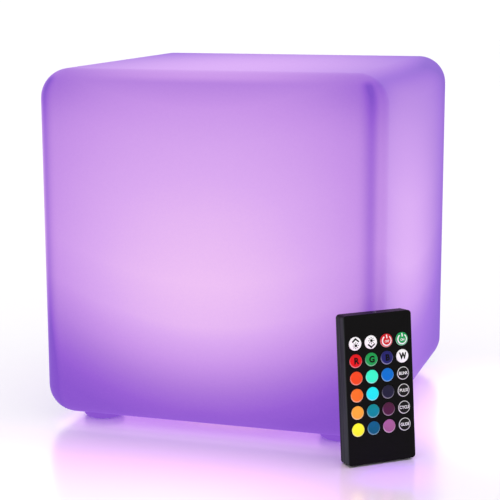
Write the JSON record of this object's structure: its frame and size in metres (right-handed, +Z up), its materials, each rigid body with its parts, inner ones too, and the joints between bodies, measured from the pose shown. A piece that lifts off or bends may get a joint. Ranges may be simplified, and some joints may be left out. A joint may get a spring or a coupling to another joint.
{
  "type": "led cube light",
  "caption": "Translucent glowing cube light on moulded feet, lit from a sealed base in its underside, with a black keyed remote leaning on its near edge.",
  "frame": {"origin": "on the floor, under the middle of the cube", "axes": "+Z up, -Y the front face in the picture, +X the right face; the remote stands at the +X -Y edge"},
  "size_m": [0.2201, 0.2234, 0.2048],
  "materials": {
    "shell_polyethylene": "translucent white, lit violet from inside, fine matte grain",
    "base_plastic": "white moulded plastic",
    "silicone": "grey silicone",
    "button_rubber": "dark grey rubber",
    "zinc_steel": "zinc-plated steel",
    "socket_steel": "stamped stainless steel",
    "green_board": "green solder mask",
    "white_board": "white solder mask",
    "black_epoxy": "black epoxy packages",
    "clear_plastic": "clear moulded light pipe",
    "emitter_yellow": "pale emitter windows",
    "dome_plastic": "frosted white diffuser",
    "cell_sleeve": "shrink sleeve, plain",
    "nickel": "nickel strip",
    "remote_plastic": "black moulded plastic, fine grain",
    "keymat_rubber": "milky rubber sheet",
    "coin_steel": "plain stainless coin cell",
    "ir_plastic": "dark infrared filter plastic",
    "key_brightness_up": "glossy moulded key",
    "key_brightness_down": "glossy moulded key",
    "key_off": "glossy moulded key",
    "key_on": "glossy moulded key",
    "key_red": "glossy moulded key",
    "key_green": "glossy moulded key",
    "key_blue": "glossy moulded key",
    "key_white": "glossy moulded key",
    "key_vermilion": "glossy moulded key",
    "key_mint": "glossy moulded key",
    "key_azure": "glossy moulded key",
    "key_blink": "glossy moulded key",
    "key_orange": "glossy moulded key",
    "key_cyan": "glossy moulded key",
    "key_indigo": "glossy moulded key",
    "key_pulse": "glossy moulded key",
    "key_amber": "glossy moulded key",
    "key_teal": "glossy moulded key",
    "key_plum": "glossy moulded key",
    "key_cycle": "glossy moulded key",
    "key_yellow": "glossy moulded key",
    "key_petrol": "glossy moulded key",
    "key_orchid": "glossy moulded key",
    "key_glide": "glossy moulded key"
  },
  "bodies": {
    "cube": {"cube_shell": "shell_polyethylene", "base_housing": "base_plastic", "base_gasket": "silicone", "base_screws": "zinc_steel", "power_switch": "black_epoxy", "status_window": "clear_plastic", "status_led": "emitter_yellow", "charge_socket": "socket_steel", "control_board": "green_board", "control_board_screws": "zinc_steel", "board_chips": "black_epoxy", "battery_cell": "cell_sleeve", "battery_contacts": "nickel", "battery_strap": "base_plastic", "battery_strap_screws": "zinc_steel", "board_link": "black_epoxy", "led_board": "white_board", "led_emitters": "emitter_yellow", "ir_receiver": "ir_plastic", "dome_seal": "silicone", "diffuser_dome": "dome_plastic", "dome_screws": "zinc_steel"},
    "power_button": {"power_button": "button_rubber"},
    "port_cover": {"port_cover": "button_rubber"},
    "remote": {"remote_front_cover": "remote_plastic", "remote_back_cover": "remote_plastic", "remote_screws": "zinc_steel", "remote_keymat": "keymat_rubber", "remote_contact_domes": "nickel", "remote_board": "green_board", "remote_chip": "black_epoxy", "remote_ir_emitter": "ir_plastic", "remote_coin_cell": "coin_steel", "remote_cell_contacts": "nickel"},
    "battery_door": {"remote_battery_door": "remote_plastic"},
    "key_brightness_up": {"key_brightness_up": "key_brightness_up"},
    "key_brightness_down": {"key_brightness_down": "key_brightness_down"},
    "key_off": {"key_off": "key_off"},
    "key_on": {"key_on": "key_on"},
    "key_red": {"key_red": "key_red"},
    "key_green": {"key_green": "key_green"},
    "key_blue": {"key_blue": "key_blue"},
    "key_white": {"key_white": "key_white"},
    "key_vermilion": {"key_vermilion": "key_vermilion"},
    "key_mint": {"key_mint": "key_mint"},
    "key_azure": {"key_azure": "key_azure"},
    "key_blink": {"key_blink": "key_blink"},
    "key_orange": {"key_orange": "key_orange"},
    "key_cyan": {"key_cyan": "key_cyan"},
    "key_indigo": {"key_indigo": "key_indigo"},
    "key_pulse": {"key_pulse": "key_pulse"},
    "key_amber": {"key_amber": "key_amber"},
    "key_teal": {"key_teal": "key_teal"},
    "key_plum": {"key_plum": "key_plum"},
    "key_cycle": {"key_cycle": "key_cycle"},
    "key_yellow": {"key_yellow": "key_yellow"},
    "key_petrol": {"key_petrol": "key_petrol"},
    "key_orchid": {"key_orchid": "key_orchid"},
    "key_glide": {"key_glide": "key_glide"}
  },
  "joints": [
    {"name": "power_button_press", "type": "slide", "parent": "cube", "child": "power_button", "axis": [0, 0, 1], "range_m": [0, 0.0008], "stiffness_N_per_m": 1000, "springref_m": -0.0008},
    {"name": "port_cover_hinge", "type": "hinge", "parent": "cube", "child": "port_cover", "pos_m": [0.016, -0.0118, 0.0121], "axis": [1, 0, 0], "range_deg": [0, 100]},
    {"name": "remote_lift", "type": "slide", "parent": "cube", "child": "remote", "axis": [0, 0, 1], "range_m": [0, 0.2]},
    {"name": "battery_door_slide", "type": "slide", "parent": "remote", "child": "battery_door", "axis": [0.0672, -0.0801, -0.9945], "range_m": [0, 0.006]},
    {"name": "key_brightness_up_press", "type": "slide", "parent": "remote", "child": "key_brightness_up", "axis": [-0.6393, 0.7618, -0.1045], "range_m": [0, 0.0005], "stiffness_N_per_m": 300, "springref_m": -0.0015},
    {"name": "key_brightness_down_press", "type": "slide", "parent": "remote", "child": "key_brightness_down", "axis": [-0.6393, 0.7618, -0.1045], "range_m": [0, 0.0005], "stiffness_N_per_m": 300, "springref_m": -0.0015},
    {"name": "key_off_press", "type": "slide", "parent": "remote", "child": "key_off", "axis": [-0.6393, 0.7618, -0.1045], "range_m": [0, 0.0005], "stiffness_N_per_m": 300, "springref_m": -0.0015},
    {"name": "key_on_press", "type": "slide", "parent": "remote", "child": "key_on", "axis": [-0.6393, 0.7618, -0.1045], "range_m": [0, 0.0005], "stiffness_N_per_m": 300, "springref_m": -0.0015},
    {"name": "key_red_press", "type": "slide", "parent": "remote", "child": "key_red", "axis": [-0.6393, 0.7618, -0.1045], "range_m": [0, 0.0005], "stiffness_N_per_m": 300, "springref_m": -0.0015},
    {"name": "key_green_press", "type": "slide", "parent": "remote", "child": "key_green", "axis": [-0.6393, 0.7618, -0.1045], "range_m": [0, 0.0005], "stiffness_N_per_m": 300, "springref_m": -0.0015},
    {"name": "key_blue_press", "type": "slide", "parent": "remote", "child": "key_blue", "axis": [-0.6393, 0.7618, -0.1045], "range_m": [0, 0.0005], "stiffness_N_per_m": 300, "springref_m": -0.0015},
    {"name": "key_white_press", "type": "slide", "parent": "remote", "child": "key_white", "axis": [-0.6393, 0.7618, -0.1045], "range_m": [0, 0.0005], "stiffness_N_per_m": 300, "springref_m": -0.0015},
    {"name": "key_vermilion_press", "type": "slide", "parent": "remote", "child": "key_vermilion", "axis": [-0.6393, 0.7618, -0.1045], "range_m": [0, 0.0005], "stiffness_N_per_m": 300, "springref_m": -0.0015},
    {"name": "key_mint_press", "type": "slide", "parent": "remote", "child": "key_mint", "axis": [-0.6393, 0.7618, -0.1045], "range_m": [0, 0.0005], "stiffness_N_per_m": 300, "springref_m": -0.0015},
    {"name": "key_azure_press", "type": "slide", "parent": "remote", "child": "key_azure", "axis": [-0.6393, 0.7618, -0.1045], "range_m": [0, 0.0005], "stiffness_N_per_m": 300, "springref_m": -0.0015},
    {"name": "key_blink_press", "type": "slide", "parent": "remote", "child": "key_blink", "axis": [-0.6393, 0.7618, -0.1045], "range_m": [0, 0.0005], "stiffness_N_per_m": 300, "springref_m": -0.0015},
    {"name": "key_orange_press", "type": "slide", "parent": "remote", "child": "key_orange", "axis": [-0.6393, 0.7618, -0.1045], "range_m": [0, 0.0005], "stiffness_N_per_m": 300, "springref_m": -0.0015},
    {"name": "key_cyan_press", "type": "slide", "parent": "remote", "child": "key_cyan", "axis": [-0.6393, 0.7618, -0.1045], "range_m": [0, 0.0005], "stiffness_N_per_m": 300, "springref_m": -0.0015},
    {"name": "key_indigo_press", "type": "slide", "parent": "remote", "child": "key_indigo", "axis": [-0.6393, 0.7618, -0.1045], "range_m": [0, 0.0005], "stiffness_N_per_m": 300, "springref_m": -0.0015},
    {"name": "key_pulse_press", "type": "slide", "parent": "remote", "child": "key_pulse", "axis": [-0.6393, 0.7618, -0.1045], "range_m": [0, 0.0005], "stiffness_N_per_m": 300, "springref_m": -0.0015},
    {"name": "key_amber_press", "type": "slide", "parent": "remote", "child": "key_amber", "axis": [-0.6393, 0.7618, -0.1045], "range_m": [0, 0.0005], "stiffness_N_per_m": 300, "springref_m": -0.0015},
    {"name": "key_teal_press", "type": "slide", "parent": "remote", "child": "key_teal", "axis": [-0.6393, 0.7618, -0.1045], "range_m": [0, 0.0005], "stiffness_N_per_m": 300, "springref_m": -0.0015},
    {"name": "key_plum_press", "type": "slide", "parent": "remote", "child": "key_plum", "axis": [-0.6393, 0.7618, -0.1045], "range_m": [0, 0.0005], "stiffness_N_per_m": 300, "springref_m": -0.0015},
    {"name": "key_cycle_press", "type": "slide", "parent": "remote", "child": "key_cycle", "axis": [-0.6393, 0.7618, -0.1045], "range_m": [0, 0.0005], "stiffness_N_per_m": 300, "springref_m": -0.0015},
    {"name": "key_yellow_press", "type": "slide", "parent": "remote", "child": "key_yellow", "axis": [-0.6393, 0.7618, -0.1045], "range_m": [0, 0.0005], "stiffness_N_per_m": 300, "springref_m": -0.0015},
    {"name": "key_petrol_press", "type": "slide", "parent": "remote", "child": "key_petrol", "axis": [-0.6393, 0.7618, -0.1045], "range_m": [0, 0.0005], "stiffness_N_per_m": 300, "springref_m": -0.0015},
    {"name": "key_orchid_press", "type": "slide", "parent": "remote", "child": "key_orchid", "axis": [-0.6393, 0.7618, -0.1045], "range_m": [0, 0.0005], "stiffness_N_per_m": 300, "springref_m": -0.0015},
    {"name": "key_glide_press", "type": "slide", "parent": "remote", "child": "key_glide", "axis": [-0.6393, 0.7618, -0.1045], "range_m": [0, 0.0005], "stiffness_N_per_m": 300, "springref_m": -0.0015}
  ]
}
